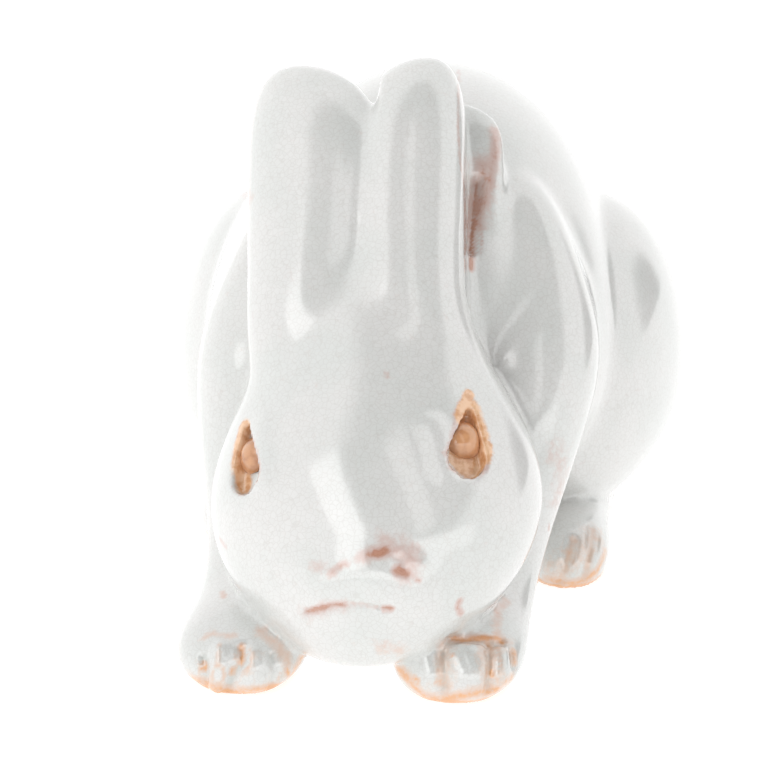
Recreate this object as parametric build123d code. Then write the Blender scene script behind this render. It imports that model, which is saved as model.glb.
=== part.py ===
from build123d import *
import os

# A crouching rabbit figurine in glazed terracotta, at real size in millimetres.
# It faces -Y and stands on Z = 0, with the origin under the middle of its outline.
# The body and head are hollow clay shells, open to each other at the neck. The ears, legs,
# haunches, feet, tail and eyes are made apart and luted on with a thin line of slip, so each
# piece is cut to the form of the piece that carries it. The hollows are scraped out in straight
# strokes, and leave at least the named wall.

# Clay, slip and cutters
body_wall = 5.0
head_wall = 5.5
slip_line = 0.06
cutter_overrun = 2.0

# Body: a hollow egg that hangs clear of the ground between the feet
torso_length = 148.0
torso_width = 93.0
torso_height = 96.5
torso_start = 38.0
belly_clearance = 6.0
neck_hole_diameter = 20.0
neck_hole_height = 44.0
vent_hole_diameter = 7.0
vent_hole_from_rear = 70.0

# Head: pear-shaped, wide at the cheeks, and leaning a little to the rabbit's right
head_width = 69.5
head_length = 64.0
head_height = 75.5
head_start = -3.0
head_offset = 3.0
chin_clearance = 3.5
head_lean = 8.0

# Ears: laid back over the neck, each a thick roll with a flap and an opening along its outer
# side. The pair swings to the rabbit's left, against the lean of the head.
ear_length = 73.0
left_ear_width = 27.5
right_ear_width = 32.0
ear_overlap = 6.0
ear_thickness = 21.0
ear_slope = 46.0
ear_swing = 3.1
left_ear_flare = -3.5
right_ear_flare = 3.0
flap_length = 60.0
flap_width = 25.0
flap_thickness = 7.0
flap_reach = 25.5
flap_drop = 12.5
channel_length = 40.0
channel_width = 13.0
channel_height = 8.0
channel_reach = 31.0
channel_drop = 5.0
channel_middle = 46.0

# Eyes: pellets of amber glaze in pointed sockets
socket_length = 18.0
socket_width = 9.0
socket_depth = 3.4
eye_diameter = 9.4
eye_recess = 0.2
eye_lift = 1.0
eye_spread = 23.5
eye_level = 48.3
eye_cant = 36.0

# Forelegs: a flat paw with four toes, a forearm, and a shoulder that bulges from the body
paw_width = 27.2
paw_height = 15.0
paw_spread = 21.3
foreleg_length = 90.0
foreleg_rise = 86.0
left_elbow_splay = 12.9
right_elbow_splay = 8.4
right_paw_advance = 3.0
fore_toes = 4
fore_toe_length = 9.0
toe_cleft_width = 2.2
cleft_fan = 16.0

# Haunches and hind feet: the right foot sits further back than the left
haunch_length = 94.0
haunch_height = 71.0
haunch_width = 52.0
haunch_spread = 34.0
haunch_start = 77.0
haunch_base = 2.5
hind_foot_length = 66.0
hind_foot_width = 16.8
hind_foot_height = 13.0
hind_foot_spread = 38.5
hind_foot_start = 61.0
hind_foot_setback = 12.0
hind_toes = 3
hind_toe_length = 10.0

# Tail: a pressed ball of clay on the rump
tail_diameter = 25.0
tail_start = 173.5
tail_level = 30.0

# Shares of the torso's length, then of its half-width and of its height: the top, the widest
# line and the bottom of each section
torso_shares = [
    (0.10, 0.57, 0.68, 0.38, 0.09),
    (0.31, 0.98, 0.92, 0.39, 0.01),
    (0.54, 0.97, 1.00, 0.39, 0.00),
    (0.76, 0.82, 0.90, 0.37, 0.01),
    (0.93, 0.49, 0.62, 0.32, 0.07),
]
torso_tip_share = 0.33

# Shares of the head's height, then of its half-width and of its length: the front, the widest
# line and the back of each level section
head_shares = [
    (0.07, 0.57, 0.02, 0.36, 0.66),
    (0.21, 0.90, -0.01, 0.47, 0.87),
    (0.36, 1.00, 0.02, 0.51, 0.94),
    (0.60, 0.86, 0.19, 0.58, 0.98),
    (0.87, 0.62, 0.55, 0.74, 1.00),
]
chin_tip_share = 0.32
crown_tip_share = 0.83

# Where the ears join, as shares of the head's length and height
ear_root_length_share = 0.594
ear_root_height_share = 0.735

# Shares of an ear's length, then of its half-width, how far out each section is set and how
# wide it is, and of the ear's thickness over and under its axis
ear_shares = [
    (0.00, 0.00, 0.90, 0.36, 0.60),
    (0.40, 0.00, 0.98, 0.44, 0.80),
    (0.75, 0.05, 0.96, 0.44, 0.82),
    (0.93, 0.24, 0.64, 0.32, 0.58),
]
ear_tip_out_share = 0.45

# Shares of the length, half-width and half-thickness of an ear's flap
flap_shares = [
    (0.25, 0.52, 0.80),
    (0.65, 1.00, 1.00),
    (0.93, 0.66, 0.80),
]

# Shares of the foreleg's length, rise and elbow splay, then of the paw's half-width and of its
# height over and under the axis, and the tilt of the section in degrees
foreleg_shares = [
    (0.041, 0.058, 0.08, 0.80, 0.38, 0.42, 0),
    (0.194, 0.073, 0.10, 1.00, 0.55, 0.58, 8),
    (0.358, 0.117, 0.16, 0.90, 0.58, 0.64, 24),
    (0.532, 0.329, 0.45, 0.92, 0.74, 0.72, 50),
    (0.716, 0.598, 0.82, 0.99, 0.92, 0.90, 50),
    (0.930, 0.900, 0.45, 0.58, 0.60, 0.60, 50),
]
paw_tip_share = 0.05
shoulder_out_share = 0.30

# Shares of the haunch's length, then of its half-width and of its height
haunch_shares = [
    (0.10, 0.58, 0.80, 0.40, 0.09),
    (0.34, 0.95, 0.98, 0.43, 0.00),
    (0.64, 0.95, 0.95, 0.42, 0.00),
    (0.91, 0.56, 0.68, 0.39, 0.10),
]
haunch_tip_share = 0.40

# Shares of a hind foot's length, half-width and height
hind_foot_shares = [
    (0.06, 0.78, 0.80),
    (0.35, 1.00, 1.00),
    (0.90, 0.64, 0.74),
]
sole_axis_share = 0.30

# Shares that place the toe grooves: of their length, and of the foot's width and height
cleft_start_share = 0.30
cleft_setback_share = 0.22
cleft_level_share = 0.78


def egg_face(half_width, rise, drop):
    """A closed egg outline about the origin of its own plane."""
    quarters = [
        EllipticalCenterArc((0, 0), half_width, height, start_angle=start, arc_size=90)
        for start, height in ((0, rise), (90, rise), (180, drop), (270, drop))
    ]
    return make_face(Wire(quarters))


def upright_section(x, y, z, half_width, rise, drop, tilt=0):
    """An egg section that stands across the rabbit, its top leaning forward by the tilt."""
    plane = Plane(origin=(x, y, z), x_dir=(1, 0, 0), z_dir=(0, -1, 0))
    return plane * Rot(tilt, 0, 0) * egg_face(half_width, rise, drop)


def level_section(y, z, half_width, back, front):
    """An egg section that lies level on the middle of the rabbit."""
    return Pos(0, y, z) * egg_face(half_width, back, front)


def torso_form(grow=0, hollow=False):
    """The form of the body, swollen by a line of slip, or shrunk for its hollow, which is ruled."""
    middle = torso_start + torso_length / 2
    stretch = 1 + 2 * grow / torso_length
    tip_level = belly_clearance + torso_tip_share * torso_height

    def along(share):
        return middle + (share - 1 / 2) * torso_length * stretch

    sections = [Vertex(0, along(0), tip_level)]
    for share, width, top, widest, bottom in torso_shares:
        sections.append(upright_section(
            0, along(share), belly_clearance + widest * torso_height,
            width * torso_width / 2 + grow,
            (top - widest) * torso_height + grow,
            (widest - bottom) * torso_height + grow,
        ))
    sections.append(Vertex(0, along(1), tip_level))
    return loft(sections, ruled=hollow)


def lean(shape):
    """Lean the head, or what it carries, towards the rabbit's right."""
    pivot = chin_clearance + head_height / 3
    return Pos(head_offset, 0, pivot) * Rot(0, -head_lean, 0) * Pos(0, 0, -pivot) * shape


def head_form(grow=0, hollow=False):
    """The form of the head before it leans, swollen by slip, or shrunk for its hollow."""
    middle = chin_clearance + head_height / 2
    stretch = 1 + 2 * grow / head_height

    def level(share):
        return middle + (share - 1 / 2) * head_height * stretch

    sections = [Vertex(0, head_start + chin_tip_share * head_length, level(0))]
    for share, width, front, widest, back in head_shares:
        sections.append(level_section(
            head_start + widest * head_length, level(share),
            width * head_width / 2 + grow,
            (back - widest) * head_length + grow,
            (widest - front) * head_length + grow,
        ))
    sections.append(Vertex(0, head_start + crown_tip_share * head_length, level(1)))
    return loft(sections, ruled=hollow)


def ears_frame():
    """Where the ears join, with X across them, Y down through them and Z along them."""
    back = head_start + ear_root_length_share * head_length
    height = chin_clearance + ear_root_height_share * head_height
    return Plane((0, back, height), x_dir=(1, 0, 0), z_dir=(0, 1, 0)).location * Rot(ear_slope, 0, 0) * Rot(0, ear_swing, 0)


def ear_flap():
    """The thin leaf of clay along an ear, from a point inside it to one near the ear's tip."""
    end = ear_length - flap_thickness / 2
    sections = [Vertex(0, -flap_thickness, end - flap_length)]
    for share, width, thickness in flap_shares:
        half_thickness = thickness * flap_thickness / 2
        section = egg_face(width * flap_width / 2, half_thickness, half_thickness)
        sections.append(Pos(0, 0, end - (1 - share) * flap_length) * section)
    sections.append(Vertex(0, 0, end))
    return loft(sections)


def ear_channel():
    """The cutter of an ear's opening: a lens, as a blade leaves it that is drawn along the ear."""
    half_length = channel_length / 2
    half_width = channel_width / 2
    outline = Wire([
        ThreePointArc((-half_length, 0), (0, half_width), (half_length, 0)),
        ThreePointArc((half_length, 0), (0, -half_width), (-half_length, 0)),
    ])
    flat = Plane((0, 0, channel_middle), x_dir=(0, 0, 1), z_dir=(0, 1, 0))
    return flat.location * extrude(make_face(outline), amount=channel_height / 2, both=True)


def ear_form(side):
    """One ear before it is cut to its seats: side is 1 for the rabbit's left, -1 for its right."""
    ear_width = left_ear_width if side > 0 else right_ear_width
    ear_flare = left_ear_flare if side > 0 else right_ear_flare
    outward = side * ear_width / 2
    sections = []
    for share, out, width, over, under in ear_shares:
        section = egg_face(width * ear_width / 2, under * ear_thickness, over * ear_thickness)
        sections.append(Pos(out * outward, 0, share * ear_length) * section)
    sections.append(Vertex(ear_tip_out_share * outward, 0, ear_length))
    roll = Pos(side * (ear_width / 2 - ear_overlap), 0, 0) * Rot(0, side * ear_flare, 0) * loft(sections)
    flap = Pos(side * (flap_reach - flap_width / 2), flap_drop, 0) * ear_flap()
    channel = Pos(side * (channel_reach - channel_width / 2), channel_drop, 0) * ear_channel()
    return ears_frame() * (roll + flap - channel)


def paw_start_of(side):
    """Where a paw's toes begin: the right paw is put forward."""
    return -right_paw_advance * (1 - side) / 2


def foreleg_form(side, grow=0):
    """A paw, forearm and shoulder before they are cut, swollen by slip for the ear's seat."""
    splay = left_elbow_splay if side > 0 else right_elbow_splay
    start = paw_start_of(side)
    sections = [Vertex(side * paw_spread, start - grow, paw_tip_share * foreleg_rise)]
    for along, up, out, width, rise, drop, tilt in foreleg_shares:
        sections.append(upright_section(
            side * (paw_spread + out * splay), start + along * foreleg_length, up * foreleg_rise,
            width * paw_width / 2 + grow, rise * paw_height + grow, drop * paw_height + grow, tilt,
        ))
    shoulder = side * (paw_spread + shoulder_out_share * splay)
    sections.append(Vertex(shoulder, start + foreleg_length + grow, foreleg_rise + grow))
    return loft(sections)


def haunch_form(side):
    """A whole thigh, of which the part outside the body is kept."""
    x = side * haunch_spread
    tip_level = haunch_base + haunch_tip_share * haunch_height
    sections = [Vertex(x, haunch_start, tip_level)]
    for share, width, top, widest, bottom in haunch_shares:
        sections.append(upright_section(
            x, haunch_start + share * haunch_length, haunch_base + widest * haunch_height,
            width * haunch_width / 2,
            (top - widest) * haunch_height, (widest - bottom) * haunch_height,
        ))
    sections.append(Vertex(x, haunch_start + haunch_length, tip_level))
    return loft(sections)


def hind_foot_start_of(side):
    """Where a hind foot's toes begin: the right foot is set back."""
    return hind_foot_start + hind_foot_setback * (1 - side) / 2


def hind_foot_form(side, grow=0):
    """A long foot before its sole is cut flat, swollen by a line of slip for its seat."""
    x = side * hind_foot_spread
    axis = sole_axis_share * hind_foot_height
    start = hind_foot_start_of(side) - grow
    length = hind_foot_length + 2 * grow
    sections = [Vertex(x, start, axis)]
    for share, width, top in hind_foot_shares:
        height = top * hind_foot_height - axis + grow
        sections.append(upright_section(
            x, start + share * length, axis, width * hind_foot_width / 2 + grow, height, height,
        ))
    sections.append(Vertex(x, start + length, axis))
    return loft(sections)


def cut_clefts(foot, x, start, width, height, toes, length):
    """Part the toes of a foot with wedge-edged discs that fan out from its middle."""
    rim = Polyline((0, length), (toe_cleft_width / 2, 0), (-toe_cleft_width / 2, 0), close=True)
    lens = revolve(make_face(rim), axis=Axis.X)
    for number in range(1, toes):
        across = 2 * number / toes - 1
        centre = Pos(
            x + across * width / 2,
            start - cleft_start_share * length + cleft_setback_share * width * across ** 2,
            cleft_level_share * height,
        )
        foot -= centre * Rot(0, 0, cleft_fan * across) * lens
    return foot


def ground_block():
    """The block under the ground plane that cuts the soles flat."""
    reach = 2 * (torso_length + head_length)
    return Pos(0, reach / 4, -reach / 2) * Box(reach, reach, reach)


def eye_seat(side):
    """The plane on the head's skin that an eye looks out of, with Y along the socket."""
    behind = Vector(side * eye_spread, head_start + head_length / 2, eye_level)
    crossings = head_form().find_intersection_points(Axis(behind, (0, -1, 0)))
    skin, outward = min(crossings, key=lambda crossing: crossing[0].Y)
    seat = Plane(skin, x_dir=Vector(0, 0, 1).cross(outward), z_dir=outward)
    return seat.location * Rot(0, 0, -side * eye_cant)


def socket_form(side, grow=0):
    """The pointed hollow that is carved for an eye: a round bowl below a point."""
    bowl = socket_width / 2 + grow
    drop = socket_length / 2 - bowl
    tip = socket_length / 2 + grow
    lean_in = bowl ** 2 / (tip + drop)
    touch = (bowl ** 2 - lean_in ** 2) ** 0.5
    outline = Wire([
        ThreePointArc((-touch, lean_in - drop), (0, -drop - bowl), (touch, lean_in - drop)),
        Line((touch, lean_in - drop), (0, tip)),
        Line((0, tip), (-touch, lean_in - drop)),
    ])
    floor = Pos(0, 0, -socket_depth - grow)
    return eye_seat(side) * floor * extrude(make_face(outline), amount=socket_depth + cutter_overrun)


def build_torso():
    """The hollow body, with its neck hole and the vent hole in the belly."""
    shell = torso_form() - torso_form(-body_wall, hollow=True)
    reach = torso_length / 3
    neck = Pos(0, torso_start + reach / 2 - cutter_overrun, neck_hole_height)
    shell -= neck * Rot(90, 0, 0) * Cylinder(neck_hole_diameter / 2, reach)
    depth = belly_clearance + body_wall + cutter_overrun
    vent = Pos(0, torso_start + torso_length - vent_hole_from_rear, depth / 2)
    return shell - vent * Cylinder(vent_hole_diameter / 2, depth)


def build_head():
    """The hollow head, open at the neck, with its two eye sockets."""
    shell = head_form() - head_form(-head_wall, hollow=True)
    for side in (1, -1):
        shell -= socket_form(side)
    return lean(shell) - torso_form(slip_line)


def build_eye(side):
    """The amber pellet that fills the round part of a socket."""
    pellet = Pos(0, eye_lift, -eye_recess - eye_diameter / 2) * Sphere(eye_diameter / 2)
    return lean((eye_seat(side) * pellet) & socket_form(side, -slip_line))


def build_ear(side):
    """An ear, cut to the head, the body, the shoulder and the other ear."""
    reach = 2 * ear_length
    other_half = ears_frame() * Pos(side * (slip_line - reach) / 2, 0, 0) * Box(reach, reach, 2 * reach)
    ear = lean(ear_form(side) - other_half - head_form(slip_line))
    return ear - torso_form(slip_line) - foreleg_form(side, slip_line)


def build_foreleg(side):
    """A foreleg, cut flat at the sole and to the body and the cheek that rests on it."""
    leg = foreleg_form(side) - ground_block() - torso_form(slip_line) - lean(head_form(slip_line))
    return cut_clefts(
        leg, side * paw_spread, paw_start_of(side), paw_width, paw_height, fore_toes, fore_toe_length,
    )


def build_hind_foot(side):
    """A hind foot, cut flat at the sole and to the body."""
    foot = hind_foot_form(side) - ground_block() - torso_form(slip_line)
    return cut_clefts(
        foot, side * hind_foot_spread, hind_foot_start_of(side), hind_foot_width,
        hind_foot_height, hind_toes, hind_toe_length,
    )


def build_haunch(side):
    """A thigh, cut to the body and to the hind foot under it."""
    return haunch_form(side) - torso_form(slip_line) - hind_foot_form(side, slip_line)


def build_tail():
    """The ball of the tail, cut to the rump."""
    ball = Pos(0, tail_start + tail_diameter / 2, tail_level) * Sphere(tail_diameter / 2)
    return ball - torso_form(slip_line)


def build_nodes():
    """Every piece by its name, in the place where the figure was put together."""
    pieces = {"torso_shell": build_torso(), "head_shell": build_head(), "tail": build_tail()}
    for name, side in (("left", 1), ("right", -1)):
        pieces[name + "_ear"] = build_ear(side)
        pieces[name + "_eye"] = build_eye(side)
        pieces[name + "_foreleg"] = build_foreleg(side)
        pieces[name + "_haunch"] = build_haunch(side)
        pieces[name + "_hind_foot"] = build_hind_foot(side)
    return pieces


nodes = build_nodes()
boxes = [piece.bounding_box() for piece in nodes.values()]
middle_x = (min(box.min.X for box in boxes) + max(box.max.X for box in boxes)) / 2
middle_y = (min(box.min.Y for box in boxes) + max(box.max.Y for box in boxes)) / 2
lowest = min(box.min.Z for box in boxes)
os.makedirs("parts", exist_ok=True)
for name, piece in nodes.items():
    nodes[name] = Pos(-middle_x, -middle_y, -lowest) * piece
    export_step(nodes[name], "parts/" + name + ".step")
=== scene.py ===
import bmesh
import bpy
import numpy as np
from math import cos, pi, radians, sin
from mathutils import Matrix, Vector
from mathutils.bvhtree import BVHTree


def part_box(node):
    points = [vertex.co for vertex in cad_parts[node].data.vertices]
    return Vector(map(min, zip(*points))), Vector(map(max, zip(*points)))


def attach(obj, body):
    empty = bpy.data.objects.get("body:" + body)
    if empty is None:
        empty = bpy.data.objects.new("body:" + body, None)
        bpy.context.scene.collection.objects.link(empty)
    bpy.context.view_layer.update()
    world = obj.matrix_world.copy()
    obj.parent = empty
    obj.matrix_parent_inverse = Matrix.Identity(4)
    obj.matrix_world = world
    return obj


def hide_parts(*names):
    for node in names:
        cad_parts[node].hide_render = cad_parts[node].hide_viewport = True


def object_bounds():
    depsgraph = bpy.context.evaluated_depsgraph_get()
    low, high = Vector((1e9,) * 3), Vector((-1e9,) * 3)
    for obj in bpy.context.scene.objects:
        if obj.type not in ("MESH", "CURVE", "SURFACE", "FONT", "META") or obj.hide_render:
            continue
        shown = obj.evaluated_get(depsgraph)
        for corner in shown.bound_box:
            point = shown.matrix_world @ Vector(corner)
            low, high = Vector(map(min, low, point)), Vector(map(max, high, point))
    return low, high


# A crouching rabbit in terracotta under a crackled white glaze, with amber glazed eyes.
# The coat of glaze is one surface drawn over the clay pieces of the frame: their joints are
# smoothed as slip smooths them, the face is carved into it, and it is parted along the joints
# again, so that each clay piece keeps a skin of its own.

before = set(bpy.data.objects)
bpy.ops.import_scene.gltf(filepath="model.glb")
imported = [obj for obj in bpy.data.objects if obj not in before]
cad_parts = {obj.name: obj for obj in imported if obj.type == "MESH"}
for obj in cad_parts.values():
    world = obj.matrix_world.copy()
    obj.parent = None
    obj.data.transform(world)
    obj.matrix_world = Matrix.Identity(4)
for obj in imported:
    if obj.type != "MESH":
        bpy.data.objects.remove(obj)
cad_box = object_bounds()

MM = 0.001
CLAY = [name for name in sorted(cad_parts) if not name.endswith("_eye")]
EYES = ["left_eye", "right_eye"]

# Camera: where the photograph was taken from
VIEW_AZIMUTH = radians(9.5)
VIEW_ELEVATION = radians(20)
VIEW_DISTANCE = 0.640
VIEW_AIM = Vector((0.00525, -0.07439, 0.06005))
LENS = 147
SENSOR = 36
PHOTO_SIDE = 768
CLIP_START = 0.01
TABLE_SIZE = 3

# Light: the level of the white tent and of the table's glow; the tent's openings, each by its
# turn from the front, elevation, reach and level; and the bright strips, each by the turn and
# elevation of both its ends, its half-width and level
TENT_LEVEL = 1.2
FLOOR_GLOW = 0.76
OPENING_SOFT = radians(5)
STRIP_END_SOFT = radians(4)
STRIP_SIDE_SOFT = radians(2)
OPENINGS = [
    (radians(24), radians(53), radians(40), 0.13),
    (radians(130), radians(4), radians(13), 0.20),
]
STRIPS = [
    ((radians(-12), radians(20)), (radians(-60), radians(52)), radians(8), 2.5),
    ((radians(32), radians(24)), (radians(0), radians(74)), radians(6), 0.9),
    ((radians(-40), radians(8)), (radians(70), radians(8)), radians(7), 1.9),
]

# Glaze coat
COAT_GRAIN = 0.7 * MM
COAT_SWELL = 0.15 * MM
SKIN_THICKNESS = 0.8 * MM
CORE_SHARE = 0.84
WELD = 0.001 * MM
FLAT_SOLE = 0.4 * MM

# Eye pellets: their grid and how often it is smoothed
EYE_GRAIN = 0.25 * MM
EYE_PASSES = 8

# Glaze thins on bulges and pools in hollows, each from the first height to the second, and
# stays off the soles' edges
BULGE_PASSES = 6
THIN_BULGE = (0.08 * MM, 0.30 * MM)
THIN_ON_BULGE = 0.6
POOL_HOLLOW = (0.04 * MM, 0.30 * MM)
BARE_SOLE = (0.5 * MM, 2.2 * MM)

# How far the slip rounds each kind of joint, and how strongly, from 0 to 1
JOINTS = [
    (("left_ear", "right_ear"), 7 * MM, 1.0),
    (("left_ear", "head_shell"), 12 * MM, 1.0),
    (("right_ear", "head_shell"), 12 * MM, 1.0),
    (("left_ear", "torso_shell"), 6 * MM, 0.7),
    (("right_ear", "torso_shell"), 6 * MM, 0.7),
    (("left_foreleg", "torso_shell"), 14 * MM, 1.0),
    (("right_foreleg", "torso_shell"), 14 * MM, 1.0),
    (("left_haunch", "torso_shell"), 8 * MM, 0.6),
    (("right_haunch", "torso_shell"), 8 * MM, 0.6),
    (("tail", "torso_shell"), 4 * MM, 0.3),
    (("left_hind_foot", "left_haunch"), 3 * MM, 0.2),
    (("right_hind_foot", "right_haunch"), 3 * MM, 0.2),
]
JOINT_PASSES = 160
EVEN_SHARE = 0.03

# What is painted on the coat: thin glaze, pooled glaze and run amber
PAINTED = ("thin", "pool", "amber")

# How far a stroke fades out, as a multiple of its half-width or radius
CARVED_FADE = 1.5
PAINTED_FADE = 1.7

# Strokes carved into the coat, or raised from it where the depth is negative: the pixels of the
# photograph that each one passes, then its half-width and its depth in millimetres
CARVED = {
    "mouth": ([(306, 612), (318, 609), (332, 605), (346, 604), (366, 605), (388, 607)], 1.0, 0.7),
    "nostril": ([(398, 562), (404, 570), (414, 576)], 2.0, 0.25),
    "wrist": ([(450, 639), (476, 640), (503, 642)], 1.1, 1.1),
    "left_toe_gap_1": ([(443, 652), (444, 668), (445, 688)], 1.0, 0.8),
    "left_toe_gap_2": ([(490, 646), (492, 662), (489, 688)], 1.2, 1.2),
    "left_toe_gap_3": ([(512, 652), (514, 668)], 0.9, 0.7),
    "right_toe_gap_1": ([(203, 657), (205, 668), (204, 684)], 1.1, 0.9),
    "right_toe_gap_2": ([(242, 650), (243, 661), (233, 672), (228, 688)], 1.2, 1.1),
    "right_toe_gap_3": ([(272, 655), (276, 670), (272, 686)], 1.1, 0.8),
    "hind_toe_gap_1": ([(572, 540), (566, 560), (560, 580)], 1.4, 0.7),
    "hind_toe_gap_2": ([(592, 530), (590, 550), (584, 574)], 1.4, 0.7),
    "ear_slit": ([(478, 180), (477, 200), (475, 225), (473, 250)], 1.4, 2.2),
    "muzzle": ([(325, 586), (369, 580), (412, 588)], 6.0, -1.0),
    "left_toe_1": ([(427, 655), (427, 680)], 3.0, -0.7),
    "left_toe_2": ([(467, 652), (468, 688)], 3.2, -0.8),
    "left_toe_3": ([(503, 652), (503, 680)], 1.6, -0.5),
    "right_toe_1": ([(220, 648), (217, 688)], 1.8, -0.9),
    "right_toe_2": ([(256, 655), (252, 684)], 2.4, -0.7),
    "left_brow": ([(432, 425), (440, 445), (446, 470)], 3.0, -0.5),
    "right_brow": ([(262, 425), (262, 450), (264, 480)], 3.0, -0.5),
}

# Strokes where the glaze is thin or gone: pixels, radius in millimetres, and how thin, from 0 to 1
THIN = {
    "nose_top": ([(384, 538), (382, 552)], 1.7, 0.56),
    "nose_bridge": ([(361, 557), (372, 554), (381, 551)], 1.6, 0.70),
    "nose_tip": ([(377, 553), (385, 551)], 1.5, 1.05),
    "nose_left": ([(392, 548), (409, 553), (411, 564), (405, 572)], 2.6, 0.60),
    "nose_left_spot": ([(398, 571), (408, 573)], 1.5, 1.00),
    "nose_left_wing": ([(407, 574), (419, 581)], 0.6, 0.75),
    "right_nostril": ([(345, 564), (338, 568), (331, 573)], 1.0, 0.76),
    "right_nostril_faint": ([(312, 567), (322, 566)], 1.5, 0.42),
    "mouth_right": ([(308, 611), (320, 608), (334, 604), (343, 604)], 0.95, 1.00),
    "mouth_thin": ([(344, 604), (362, 605), (378, 607)], 0.4, 0.62),
    "mouth_left": ([(384, 608), (392, 608)], 0.8, 0.95),
    "mouth_halo": ([(306, 612), (344, 604)], 2.0, 0.40),
    "chin_pink": ([(380, 648), (402, 650)], 1.8, 0.42),
    "jaw_chip": ([(460, 601), (457, 607), (461, 614)], 0.9, 0.80),
    "cheek_chip": ([(220, 539), (226, 547)], 0.8, 0.55),
    "forehead_spot": ([(386, 372), (388, 378)], 0.6, 0.45),
    "leg_pink": ([(556, 452), (563, 474), (557, 500)], 3.2, 0.34),
    "leg_speck": ([(549, 526), (549, 529)], 0.5, 0.95),
    "leg_spot": ([(222, 592), (224, 597)], 0.8, 0.70),
    "wrist": ([(452, 638), (467, 640), (483, 638), (497, 638), (503, 642)], 0.9, 0.98),
    "wrist_halo": ([(448, 640), (476, 641), (506, 642)], 2.0, 0.45),
    "wrist_outer": ([(506, 601), (498, 608), (497, 622), (497, 636)], 1.5, 0.52),
    "left_toe_gap_1": ([(440, 652), (441, 668), (442, 684)], 1.5, 0.50),
    "left_toe_wash_1": ([(446, 646), (448, 690)], 2.6, 0.42),
    "left_toe_wash_2": ([(485, 648), (486, 690)], 2.4, 0.46),
    "left_toe_gap_1_spot": ([(438, 681), (442, 684)], 0.8, 0.90),
    "left_toe_dot": ([(451, 654), (452, 656)], 0.5, 0.90),
    "left_toe_gap_2": ([(489, 646), (492, 660), (491, 672)], 1.5, 0.66),
    "left_toe_gap_2_spot": ([(491, 671), (492, 676)], 0.8, 0.92),
    "left_toe_gap_3": ([(513, 652), (514, 662)], 1.1, 0.80),
    "left_toe_edge": ([(415, 678), (418, 681)], 0.8, 0.85),
    "right_toe_gap_1": ([(204, 662), (207, 666), (204, 671), (201, 666)], 0.5, 0.92),
    "right_toe_gap_2": ([(241, 647), (243, 655), (241, 662)], 0.9, 0.98),
    "right_toe_gap_2_spot": ([(233, 669), (231, 672)], 0.9, 0.88),
    "right_toe_gap_3": ([(262, 631), (274, 642), (285, 654), (288, 672)], 1.8, 0.50),
    "right_toe_gap_3_spot": ([(287, 670), (289, 675)], 0.8, 0.95),
    "right_wrist": ([(201, 639), (212, 634), (235, 636)], 1.0, 0.42),
    "hind_toe_gap_1": ([(574, 540), (568, 558), (562, 578)], 1.2, 0.54),
    "hind_toe_gap_2": ([(594, 530), (591, 550), (586, 572)], 1.2, 0.50),
    "hind_toe_pink": ([(556, 572), (578, 556), (598, 535)], 3.6, 0.40),
    "left_sole": (
        [(397, 668), (407, 679), (422, 695), (440, 700), (467, 695), (497, 690), (511, 680)], 1.7, 0.84,
    ),
    "left_sole_dark": ([(483, 692), (497, 690)], 0.8, 1.00),
    "right_sole": (
        [(192, 678), (218, 689), (232, 692), (262, 689), (285, 684), (292, 675), (302, 658)], 1.5, 0.84,
    ),
    "hind_sole": ([(548, 580), (575, 584), (597, 572), (606, 552)], 1.5, 0.80),
    "ear_slit": ([(477, 182), (476, 195), (474, 215), (472, 240), (471, 268)], 1.0, 1.00),
    "ear_slit_halo": ([(484, 165), (482, 190), (476, 225)], 3.0, 0.70),
    "ear_flap_rim": ([(496, 131), (497, 146), (491, 172), (482, 212)], 1.6, 0.72),
    "ear_edge": ([(459, 70), (458, 126), (460, 158), (465, 195), (468, 240)], 0.6, 0.52),
    "ear_fold": ([(244, 190), (250, 200)], 1.8, 0.45),
    "left_socket_rim": (
        [(468, 392), (457, 410), (452, 440), (455, 468), (470, 478), (486, 468), (490, 448)], 0.8, 0.62,
    ),
    "right_socket_rim": ([(244, 424), (237, 440), (236, 466), (245, 491)], 0.9, 0.60),
}

# Strokes where the amber glaze of the eyes has run over the coat: pixels, radius and strength
AMBER = {
    "left_socket_tip": ([(469, 394), (466, 404)], 1.1, 1.0),
    "left_socket": ([(464, 410), (458, 436), (456, 460), (470, 473), (483, 462), (485, 446)], 1.6, 1.0),
    "left_socket_inner": ([(470, 408), (475, 424), (480, 438), (474, 462), (462, 466)], 1.8, 1.0),
    "right_socket": ([(245, 428), (241, 446), (240, 468), (246, 487)], 1.9, 0.8),
}


def view_axes():
    """The directions to the right, up and back of the photograph."""
    a, e = VIEW_AZIMUTH, VIEW_ELEVATION
    right = Vector((cos(a), sin(a), 0))
    back = Vector((sin(a) * cos(e), -cos(a) * cos(e), sin(e)))
    return right, back.cross(right), back


def add_camera():
    """The camera at the photograph's place and lens."""
    back = view_axes()[2]
    data = bpy.data.cameras.new("camera")
    data.lens = LENS
    data.sensor_width = SENSOR
    data.clip_start = CLIP_START
    camera = bpy.data.objects.new("camera", data)
    camera.location = VIEW_AIM + back * VIEW_DISTANCE
    camera.rotation_euler = (pi / 2 - VIEW_ELEVATION, 0, VIEW_AZIMUTH)
    bpy.context.scene.collection.objects.link(camera)
    bpy.context.scene.camera = camera


def sight_line(pixel):
    """The camera's place and the direction in which it sees a pixel of the photograph."""
    right, up, back = view_axes()
    reach = SENSOR / LENS / PHOTO_SIDE
    middle = PHOTO_SIDE / 2
    across, down = pixel[0] - middle, pixel[1] - middle
    ray = right * across * reach - up * down * reach - back
    return VIEW_AIM + back * VIEW_DISTANCE, ray.normalized()


def coords(mesh):
    """The vertices of a mesh as rows of numbers."""
    rows = np.empty(len(mesh.vertices) * 3)
    mesh.vertices.foreach_get("co", rows)
    return rows.reshape(-1, 3)


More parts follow.
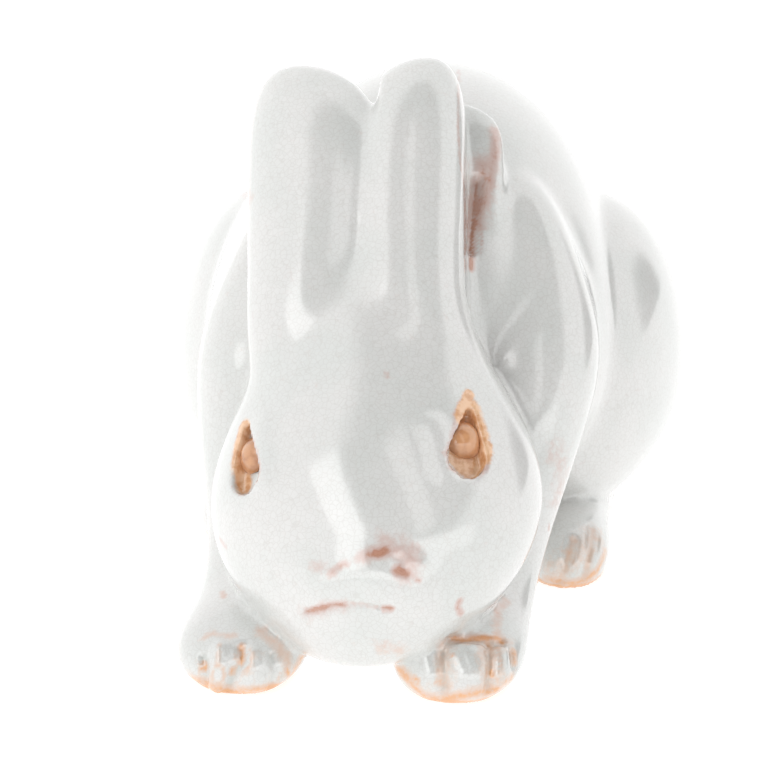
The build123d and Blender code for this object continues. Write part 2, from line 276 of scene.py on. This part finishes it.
def set_coords(mesh, rows):
    """Put the vertices of a mesh at these rows."""
    mesh.vertices.foreach_set("co", rows.reshape(-1))
    mesh.update()


def vertex_normals(mesh):
    """The normals of a mesh's vertices as rows of numbers."""
    rows = np.empty(len(mesh.vertices) * 3)
    mesh.vertex_normals.foreach_get("vector", rows)
    return rows.reshape(-1, 3)


def ease(bm, passes):
    """Smooth a bmesh evenly this many times."""
    axes = {"use_axis_x": True, "use_axis_y": True, "use_axis_z": True}
    for _ in range(passes):
        bmesh.ops.smooth_vert(bm, verts=bm.verts, factor=0.5, **axes)


def ramp(values, low, high):
    """A smooth step from 0 at low to 1 at high."""
    share = np.clip((values - low) / (high - low), 0, 1)
    return share * share * (3 - 2 * share)


def largest_island(bm):
    """Delete every part of a mesh but the one with the most faces."""
    bm.verts.index_update()
    island = [-1] * len(bm.verts)
    sizes = []
    for seed in bm.verts:
        if island[seed.index] >= 0:
            continue
        number = len(sizes)
        island[seed.index] = number
        queue, count = [seed], 0
        while queue:
            vertex = queue.pop()
            count += 1
            for edge in vertex.link_edges:
                other = edge.other_vert(vertex)
                if island[other.index] < 0:
                    island[other.index] = number
                    queue.append(other)
        sizes.append(count)
    keep = sizes.index(max(sizes))
    loose = [vertex for vertex in bm.verts if island[vertex.index] != keep]
    bmesh.ops.delete(bm, geom=loose, context="VERTS")


def clay_stock():
    """All the clay pieces in one mesh, a hair swollen so that they meet, with solid cores."""
    bm = bmesh.new()
    for name in CLAY:
        bm.from_mesh(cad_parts[name].data)
    bmesh.ops.remove_doubles(bm, verts=bm.verts, dist=WELD)
    bm.normal_update()
    for vertex in bm.verts:
        vertex.co += vertex.normal * COAT_SWELL
    for name in ("torso_shell", "head_shell"):
        core = bmesh.new()
        core.from_mesh(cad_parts[name].data)
        hull = bmesh.ops.convex_hull(core, input=core.verts)
        inside = [item for item in hull["geom_interior"] if isinstance(item, bmesh.types.BMVert)]
        bmesh.ops.delete(core, geom=inside, context="VERTS")
        low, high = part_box(name)
        middle = Matrix.Translation(-(low + high) / 2)
        bmesh.ops.scale(core, vec=Vector((1, 1, 1)) * CORE_SHARE, space=middle, verts=core.verts)
        mesh = bpy.data.meshes.new("core")
        core.to_mesh(mesh)
        core.free()
        bm.from_mesh(mesh)
        bpy.data.meshes.remove(mesh)
    return bm


def remeshed(bm, name, grain):
    """A mesh object with an even grid over the outside of a bmesh."""
    mesh = bpy.data.meshes.new(name)
    bm.to_mesh(mesh)
    bm.free()
    source = bpy.data.objects.new(name, mesh)
    bpy.context.scene.collection.objects.link(source)
    remesh = source.modifiers.new("even_grid", "REMESH")
    remesh.mode = "VOXEL"
    remesh.voxel_size = grain
    view = bpy.context.evaluated_depsgraph_get()
    even = bpy.data.meshes.new_from_object(source.evaluated_get(view), depsgraph=view)
    bpy.data.objects.remove(source)
    coat = bpy.data.objects.new(name, even)
    bpy.context.scene.collection.objects.link(coat)
    return coat


def near_share(tree, rows, radius):
    """1 on a clay piece, falling to 0 at a radius from it."""
    share = np.zeros(len(rows))
    for index, row in enumerate(rows):
        distance = tree.find_nearest(row, radius)[3]
        if distance is not None:
            share[index] = distance / radius
        else:
            share[index] = 1
    return 1 - ramp(share, 0.15, 1)


def joint_share(rows):
    """How strongly each point of the coat is rounded, by the joints near it."""
    share = np.full(len(rows), EVEN_SHARE)
    view = bpy.context.evaluated_depsgraph_get()
    trees = {name: BVHTree.FromObject(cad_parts[name], view) for name in CLAY}
    for pair, radius, strength in JOINTS:
        low = np.max([np.array(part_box(name)[0]) for name in pair], axis=0) - radius
        high = np.min([np.array(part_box(name)[1]) for name in pair], axis=0) + radius
        near = np.flatnonzero(np.all((rows > low) & (rows < high), axis=1))
        first, second = (near_share(trees[name], rows[near], radius) for name in pair)
        share[near] = np.maximum(share[near], strength * first * second)
    for name in EYES:
        low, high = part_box(name)
        away = np.linalg.norm(rows - np.array((low + high) / 2), axis=1)
        share *= np.maximum(ramp(away, 8 * MM, 14 * MM), 0.15)
    share[rows[:, 2] < cad_box[0][2] + FLAT_SOLE] = 0
    return share


def apply_modifiers(piece):
    """Make a piece's modifiers part of its mesh."""
    view = bpy.context.evaluated_depsgraph_get()
    done = bpy.data.meshes.new_from_object(piece.evaluated_get(view), depsgraph=view)
    piece.modifiers.clear()
    piece.vertex_groups.clear()
    piece.data = done


def soften(coat):
    """Round the joints as slip and glaze do."""
    bm = bmesh.new()
    bm.from_mesh(coat.data)
    largest_island(bm)
    bmesh.ops.recalc_face_normals(bm, faces=bm.faces)
    bm.to_mesh(coat.data)
    bm.free()
    group = coat.vertex_groups.new(name="joints")
    levels = np.round(joint_share(coords(coat.data)) * 50)
    for level in np.unique(levels):
        group.add(np.flatnonzero(levels == level).tolist(), level / 50, "REPLACE")
    slip = coat.modifiers.new("slip", "SMOOTH")
    slip.factor = 0.5
    slip.iterations = JOINT_PASSES
    slip.vertex_group = "joints"
    apply_modifiers(coat)


def along_stroke(tree, pixels):
    """Points on the coat along a stroke seen in the photograph."""
    points = []
    for first, last in zip(pixels, pixels[1:]):
        steps = max(int((Vector(last) - Vector(first)).length), 1)
        for step in range(steps + 1):
            pixel = Vector(first).lerp(Vector(last), step / steps)
            place = tree.ray_cast(*sight_line(pixel))[0]
            if place is not None:
                points.append(place)
    return np.array(points)


def stroke_share(rows, points, radius):
    """1 on a stroke, falling to 0 at a radius from it."""
    share = np.zeros(len(rows))
    near = np.flatnonzero(np.all((rows > points.min(0) - radius) & (rows < points.max(0) + radius), axis=1))
    if len(near):
        away = np.full(len(near), np.inf)
        for point in points:
            away = np.minimum(away, np.linalg.norm(rows[near] - point, axis=1))
        share[near] = 1 - ramp(away, 0, radius)
    return share


def carve(coat):
    """Cut the mouth, the gaps between the toes and the ear's slit, and raise the muzzle, toes and brows."""
    tree = BVHTree.FromObject(coat, bpy.context.evaluated_depsgraph_get())
    rows = coords(coat.data)
    normals = vertex_normals(coat.data)
    depth = np.zeros(len(rows))
    for pixels, half_width, deep in CARVED.values():
        points = along_stroke(tree, pixels)
        depth += deep * MM * stroke_share(rows, points, CARVED_FADE * half_width * MM)
    moved = rows - normals * depth[:, None]
    moved[:, 2] = np.where(rows[:, 2] < cad_box[0][2] + FLAT_SOLE, rows[:, 2], moved[:, 2])
    set_coords(coat.data, np.clip(moved, cad_box[0], cad_box[1]))


def paint_thin(coat):
    """Where the glaze is thin: on convex edges, along the soles and at the strokes."""
    rows = coords(coat.data)
    normals = vertex_normals(coat.data)
    bm = bmesh.new()
    bm.from_mesh(coat.data)
    ease(bm, BULGE_PASSES)
    eased = np.array([vertex.co for vertex in bm.verts])
    bm.free()
    bulge = np.sum((rows - eased) * normals, axis=1)
    thin = THIN_ON_BULGE * ramp(bulge, *THIN_BULGE)
    pool = ramp(-bulge, *POOL_HOLLOW)
    tree = BVHTree.FromObject(coat, bpy.context.evaluated_depsgraph_get())
    for pixels, radius, strength in THIN.values():
        points = along_stroke(tree, pixels)
        thin = np.maximum(thin, strength * stroke_share(rows, points, PAINTED_FADE * radius * MM))
    sole = 1 - ramp(rows[:, 2] - cad_box[0][2], *BARE_SOLE)
    thin = np.maximum(thin, sole)
    amber = np.zeros(len(rows))
    for pixels, radius, strength in AMBER.values():
        points = along_stroke(tree, pixels)
        amber = np.maximum(amber, strength * stroke_share(rows, points, PAINTED_FADE * radius * MM))
    for name, values in zip(PAINTED, (thin, pool, amber)):
        layer = coat.data.attributes.new(name, "FLOAT", "POINT")
        layer.data.foreach_set("value", values.astype(np.float32))


def owners(coat):
    """For each face of the coat, the number of the clay piece that it lies on."""
    verts, faces, owner = [], [], []
    for number, name in enumerate(CLAY):
        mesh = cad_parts[name].data
        start = len(verts)
        verts.extend(vertex.co.copy() for vertex in mesh.vertices)
        faces.extend([start + corner for corner in polygon.vertices] for polygon in mesh.polygons)
        owner.extend([number] * len(mesh.polygons))
    tree = BVHTree.FromPolygons(verts, faces)
    return np.array([owner[tree.find_nearest(polygon.center)[2]] for polygon in coat.data.polygons])


def skin_mesh(name, rows, normals, faces):
    """A closed skin: the faces given, the same faces a wall's thickness further in, and a rim."""
    faces = np.array(faces)
    count = len(rows)
    sides = np.concatenate([faces[:, [0, 1]], faces[:, [1, 2]], faces[:, [2, 3]], faces[:, [3, 0]]])
    lower, upper = sides.min(1), sides.max(1)
    keys, first, times = np.unique(lower * count + upper, return_index=True, return_counts=True)
    rim = sides[first[times == 1]]
    walls = np.stack([rim[:, 1], rim[:, 0], rim[:, 0] + count, rim[:, 1] + count], 1)
    everything = np.concatenate([faces, faces[:, ::-1] + count, walls])
    mesh = bpy.data.meshes.new(name)
    mesh.from_pydata(np.concatenate([rows, rows - normals * SKIN_THICKNESS]), [], everything.tolist())
    mesh.shade_smooth()
    across = rows[rim[:, 0]] - rows[rim[:, 1]]
    edge_normals = np.cross(across, normals[rim[:, 0]])
    edge_normals /= np.maximum(np.linalg.norm(edge_normals, axis=1), 1e-12)[:, None]
    outer, inner = normals[faces.reshape(-1)], -normals[faces[:, ::-1].reshape(-1)]
    mesh.normals_split_custom_set(np.concatenate([outer, inner, np.repeat(edge_normals, 4, 0)]))
    return mesh


def part_coat(coat, materials):
    """Part the coat along the joints, so that each clay piece has a skin of its own."""
    owner = owners(coat)
    rows = coords(coat.data)
    normals = vertex_normals(coat.data)
    painted = {layer: np.empty(len(rows), np.float32) for layer in PAINTED}
    for layer, values in painted.items():
        coat.data.attributes[layer].data.foreach_get("value", values)
    quads = np.array([polygon.vertices for polygon in coat.data.polygons])
    for number, name in enumerate(CLAY):
        faces = quads[owner == number]
        used = np.unique(faces)
        place = np.zeros(len(rows), int)
        place[used] = np.arange(len(used))
        mesh = skin_mesh(name + "_glaze", rows[used], normals[used], place[faces])
        for layer, values in painted.items():
            both = np.concatenate([values[used], values[used]])
            mesh.attributes.new(layer, "FLOAT", "POINT").data.foreach_set("value", both)
        mesh.materials.append(materials["glaze"])
        piece = bpy.data.objects.new(name + "_glaze", mesh)
        bpy.context.scene.collection.objects.link(piece)
        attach(piece, "root")
        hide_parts(name)
    bpy.data.objects.remove(coat)


def node(tree, kind, **values):
    """Add a shader node and set its properties."""
    made = tree.nodes.new(kind)
    for name, value in values.items():
        setattr(made, name, value)
    return made


def math_node(tree, operation, first, second=None, third=None):
    """A Math node of numbers or sockets."""
    made = node(tree, "ShaderNodeMath", operation=operation)
    for socket, value in zip(made.inputs, (first, second, third)):
        if value is None:
            continue
        if isinstance(value, (int, float)):
            socket.default_value = value
        else:
            tree.links.new(value, socket)
    return made.outputs[0]


def mix_colour(tree, share, first, second):
    """A Mix node of two colours, each a socket or red, green and blue."""
    made = node(tree, "ShaderNodeMix", data_type="RGBA")
    for socket, value in ((made.inputs[0], share), (made.inputs[6], first), (made.inputs[7], second)):
        if isinstance(value, (int, float)):
            socket.default_value = value
        elif isinstance(value, tuple):
            socket.default_value = (*value, 1)
        else:
            tree.links.new(value, socket)
    return made.outputs[2]


def step_between(tree, value, low, high):
    """A smooth step from 0 at low to 1 at high of a socket."""
    made = node(tree, "ShaderNodeMapRange", interpolation_type="SMOOTHSTEP")
    tree.links.new(value, made.inputs["Value"])
    made.inputs["From Min"].default_value = low
    made.inputs["From Max"].default_value = high
    return made.outputs["Result"]


def noise_at(tree, position, scale, detail=2.0, roughness=0.5):
    """The value of a noise with this many cells to the metre."""
    made = node(tree, "ShaderNodeTexNoise")
    tree.links.new(position, made.inputs["Vector"])
    made.inputs["Scale"].default_value = scale
    made.inputs["Detail"].default_value = detail
    made.inputs["Roughness"].default_value = roughness
    return made.outputs[0]


def crackle_group():
    """The net of fine cracks in a glaze: the cracks, and how the tone differs from cell to cell."""
    group = bpy.data.node_groups.new("crackle", "ShaderNodeTree")
    group.interface.new_socket("Position", in_out="INPUT", socket_type="NodeSocketVector")
    for name in ("Cells", "Width"):
        group.interface.new_socket(name, in_out="INPUT", socket_type="NodeSocketFloat")
    for name in ("Cracks", "Tone"):
        group.interface.new_socket(name, in_out="OUTPUT", socket_type="NodeSocketFloat")
    source = node(group, "NodeGroupInput")
    result = node(group, "NodeGroupOutput")
    wander = node(group, "ShaderNodeTexNoise")
    group.links.new(source.outputs["Position"], wander.inputs["Vector"])
    wander.inputs["Scale"].default_value = 700
    shift = node(group, "ShaderNodeVectorMath", operation="MULTIPLY_ADD")
    group.links.new(wander.outputs["Color"], shift.inputs[0])
    shift.inputs[1].default_value = (0.0007, 0.0007, 0.0007)
    group.links.new(source.outputs["Position"], shift.inputs[2])
    edges = node(group, "ShaderNodeTexVoronoi", feature="DISTANCE_TO_EDGE")
    cells = node(group, "ShaderNodeTexVoronoi", feature="F1")
    for texture in (edges, cells):
        group.links.new(shift.outputs[0], texture.inputs["Vector"])
        group.links.new(source.outputs["Cells"], texture.inputs["Scale"])
    share = math_node(group, "DIVIDE", edges.outputs["Distance"], source.outputs["Width"])
    cracks = math_node(group, "SUBTRACT", 1, math_node(group, "MINIMUM", share, 1))
    group.links.new(cracks, result.inputs["Cracks"])
    tone = node(group, "ShaderNodeSeparateColor")
    group.links.new(cells.outputs["Color"], tone.inputs[0])
    group.links.new(tone.outputs[0], result.inputs["Tone"])
    return group


def new_material(name):
    """An empty node material and its Principled shader."""
    material = bpy.data.materials.new(name)
    material.use_nodes = True
    tree = material.node_tree
    tree.nodes.clear()
    shader = node(tree, "ShaderNodeBsdfPrincipled")
    output = node(tree, "ShaderNodeOutputMaterial")
    tree.links.new(shader.outputs[0], output.inputs["Surface"])
    return material, tree, shader


def attribute_of(tree, name):
    """The value of a painted attribute."""
    return node(tree, "ShaderNodeAttribute", attribute_name=name).outputs["Fac"]


def glaze_material(crackle):
    """White crackled glaze that pools greenish in hollows and shows the red clay where it is thin."""
    material, tree, shader = new_material("crackle_glaze")
    links = tree.links
    position = node(tree, "ShaderNodeTexCoord").outputs["Object"]
    net = node(tree, "ShaderNodeGroup")
    net.node_tree = crackle
    links.new(position, net.inputs["Position"])
    net.inputs["Cells"].default_value = 900
    net.inputs["Width"].default_value = 0.09
    drift = noise_at(tree, position, 60, 3)
    grain = noise_at(tree, position, 900, 4, 0.65)
    drifted = step_between(tree, drift, 0.35, 0.7)
    white = mix_colour(tree, drifted, (0.74, 0.735, 0.72), (0.69, 0.705, 0.685))
    cells = math_node(tree, "MULTIPLY", net.outputs["Tone"], 0.14)
    white = mix_colour(tree, cells, white, (0.58, 0.585, 0.56))
    cracks = math_node(tree, "MULTIPLY", net.outputs["Cracks"], 0.22)
    white = mix_colour(tree, cracks, white, (0.42, 0.38, 0.34))
    pooled = math_node(tree, "MULTIPLY", attribute_of(tree, "pool"), 0.4)
    white = mix_colour(tree, pooled, white, (0.50, 0.54, 0.49))
    blotch = noise_at(tree, position, 420, 3, 0.6)
    ragged = math_node(tree, "MULTIPLY_ADD", grain, 0.5, attribute_of(tree, "thin"))
    ragged = math_node(tree, "MULTIPLY_ADD", blotch, 0.7, ragged)
    ragged = math_node(tree, "SUBTRACT", ragged, 0.6)
    parts = node(tree, "ShaderNodeSeparateXYZ")
    links.new(position, parts.inputs[0])
    raised = step_between(tree, parts.outputs["Z"], 6 * MM, 20 * MM)
    blush = math_node(tree, "MULTIPLY", step_between(tree, ragged, 0.05, 0.65), 0.75)
    blushed = mix_colour(tree, raised, (0.74, 0.50, 0.36), (0.62, 0.43, 0.38))
    colour = mix_colour(tree, blush, white, blushed)
    clay = mix_colour(tree, raised, (0.78, 0.40, 0.18), (0.50, 0.25, 0.17))
    colour = mix_colour(tree, step_between(tree, ragged, 0.55, 1.0), colour, clay)
    colour = mix_colour(tree, step_between(tree, ragged, 1.0, 1.35), colour, (0.40, 0.16, 0.08))
    run = math_node(tree, "MULTIPLY_ADD", grain, 0.5, attribute_of(tree, "amber"))
    blotches = step_between(tree, blotch, 0.40, 0.62)
    amber = mix_colour(tree, blotches, (0.84, 0.53, 0.32), (0.66, 0.33, 0.15))
    colour = mix_colour(tree, step_between(tree, run, 0.35, 0.75), colour, amber)
    links.new(colour, shader.inputs["Base Color"])
    rough = math_node(tree, "MULTIPLY_ADD", step_between(tree, ragged, 0.8, 1.3), 0.35, 0.14)
    links.new(rough, shader.inputs["Roughness"])
    shader.inputs["IOR"].default_value = 1.5
    shader.inputs["Coat Weight"].default_value = 1.0
    shader.inputs["Coat IOR"].default_value = 1.75
    shader.inputs["Coat Roughness"].default_value = 0.07
    bump = node(tree, "ShaderNodeBump")
    height = math_node(tree, "MULTIPLY_ADD", net.outputs["Cracks"], -0.35, grain)
    links.new(height, bump.inputs["Height"])
    bump.inputs["Strength"].default_value = 0.25
    bump.inputs["Distance"].default_value = 0.06 * MM
    links.new(bump.outputs[0], shader.inputs["Normal"])
    return material


def amber_material():
    """Deep amber glaze, darker where it lies thick."""
    material, tree, shader = new_material("amber_glaze")
    position = node(tree, "ShaderNodeTexCoord").outputs["Object"]
    drift = noise_at(tree, position, 260, 3)
    thick = step_between(tree, drift, 0.35, 0.65)
    colour = mix_colour(tree, thick, (0.42, 0.17, 0.07), (0.66, 0.34, 0.17))
    tree.links.new(colour, shader.inputs["Base Color"])
    shader.inputs["Roughness"].default_value = 0.08
    shader.inputs["Coat Weight"].default_value = 1.0
    shader.inputs["Coat Roughness"].default_value = 0.03
    return material


def build_eye(name, material):
    """The eye's pellet, rounded by its glaze."""
    bm = bmesh.new()
    bm.from_mesh(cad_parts[name].data)
    bmesh.ops.remove_doubles(bm, verts=bm.verts, dist=WELD)
    piece = remeshed(bm, name + "_glaze", EYE_GRAIN)
    bm = bmesh.new()
    bm.from_mesh(piece.data)
    ease(bm, EYE_PASSES)
    for face in bm.faces:
        face.smooth = True
    bm.to_mesh(piece.data)
    bm.free()
    piece.data.materials.append(material)
    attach(piece, "root")
    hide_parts(name)


def add_floor():
    """A white table lit from below, which keeps only a faint shadow."""
    bm = bmesh.new()
    level = Matrix.Translation((0, 0, cad_box[0][2]))
    bmesh.ops.create_grid(bm, x_segments=1, y_segments=1, size=TABLE_SIZE, matrix=level)
    mesh = bpy.data.meshes.new("floor")
    bm.to_mesh(mesh)
    bm.free()
    floor = bpy.data.objects.new("floor", mesh)
    bpy.context.scene.collection.objects.link(floor)
    material, tree, shader = new_material("floor")
    shader.inputs["Base Color"].default_value = (0.5, 0.5, 0.5, 1)
    shader.inputs["Roughness"].default_value = 0.9
    shader.inputs["Specular IOR Level"].default_value = 0.0
    shader.inputs["Emission Strength"].default_value = FLOOR_GLOW
    shader.inputs["Emission Color"].default_value = (1, 1, 1, 1)
    mesh.materials.append(material)


def band_between(tree, value, low, high, soft):
    """1 between two limits of a socket, with soft edges."""
    rise = step_between(tree, value, low - soft, low + soft)
    fall = step_between(tree, value, high - soft, high + soft)
    return math_node(tree, "SUBTRACT", rise, fall)


def towards(turn, rise):
    """The direction at a turn from the front and an elevation."""
    return Vector((sin(turn) * cos(rise), -cos(turn) * cos(rise), sin(rise)))


def dot_with(tree, direction, axis):
    """The dot product of a socket's direction with a fixed one."""
    made = node(tree, "ShaderNodeVectorMath", operation="DOT_PRODUCT")
    tree.links.new(direction, made.inputs[0])
    made.inputs[1].default_value = axis
    return made.outputs["Value"]


def cone_share(tree, direction, axis, reach, soft):
    """1 within a reach of an axis and 0 beyond it, with a soft edge."""
    low, high = cos(reach + soft), cos(max(reach - soft, 0))
    return step_between(tree, dot_with(tree, direction, axis), low, high)


def add_light():
    """A white tent, open in front and above, with bright strips beside the camera."""
    world = bpy.data.worlds.new("tent")
    bpy.context.scene.world = world
    world.use_nodes = True
    tree = world.node_tree
    background = next(n for n in tree.nodes if n.type == "BACKGROUND")
    background.inputs["Color"].default_value = (1, 1, 1, 1)
    direction = node(tree, "ShaderNodeTexCoord").outputs["Generated"]
    level = TENT_LEVEL
    for open_turn, open_rise, reach, open_level in OPENINGS:
        share = cone_share(tree, direction, towards(open_turn, open_rise), reach, OPENING_SOFT)
        closed = math_node(tree, "MULTIPLY", math_node(tree, "SUBTRACT", 1, share), level)
        level = math_node(tree, "MULTIPLY_ADD", share, open_level, closed)
    for lower, upper, half_width, strip_level in STRIPS:
        first, last = towards(*lower), towards(*upper)
        middle = (first + last).normalized()
        along = cone_share(tree, direction, middle, first.angle(last) / 2, STRIP_END_SOFT)
        offset = dot_with(tree, direction, first.cross(last).normalized())
        across = band_between(tree, offset, -sin(half_width), sin(half_width), sin(STRIP_SIDE_SOFT))
        strip = math_node(tree, "MULTIPLY", along, across)
        level = math_node(tree, "MAXIMUM", level, math_node(tree, "MULTIPLY", strip, strip_level))
    seen = node(tree, "ShaderNodeLightPath").outputs["Is Camera Ray"]
    level = math_node(tree, "MAXIMUM", level, seen)
    capped = math_node(tree, "MULTIPLY", seen, math_node(tree, "SUBTRACT", level, 1))
    tree.links.new(math_node(tree, "SUBTRACT", level, capped), background.inputs["Strength"])


def build():
    """The whole scene."""
    add_camera()
    coat = remeshed(clay_stock(), "glaze", COAT_GRAIN)
    soften(coat)
    carve(coat)
    paint_thin(coat)
    crackle = crackle_group()
    materials = {"glaze": glaze_material(crackle), "amber": amber_material()}
    part_coat(coat, materials)
    for name in EYES:
        build_eye(name, materials["amber"])
    add_floor()
    add_light()
    bpy.context.scene.view_settings.view_transform = "Standard"


build()
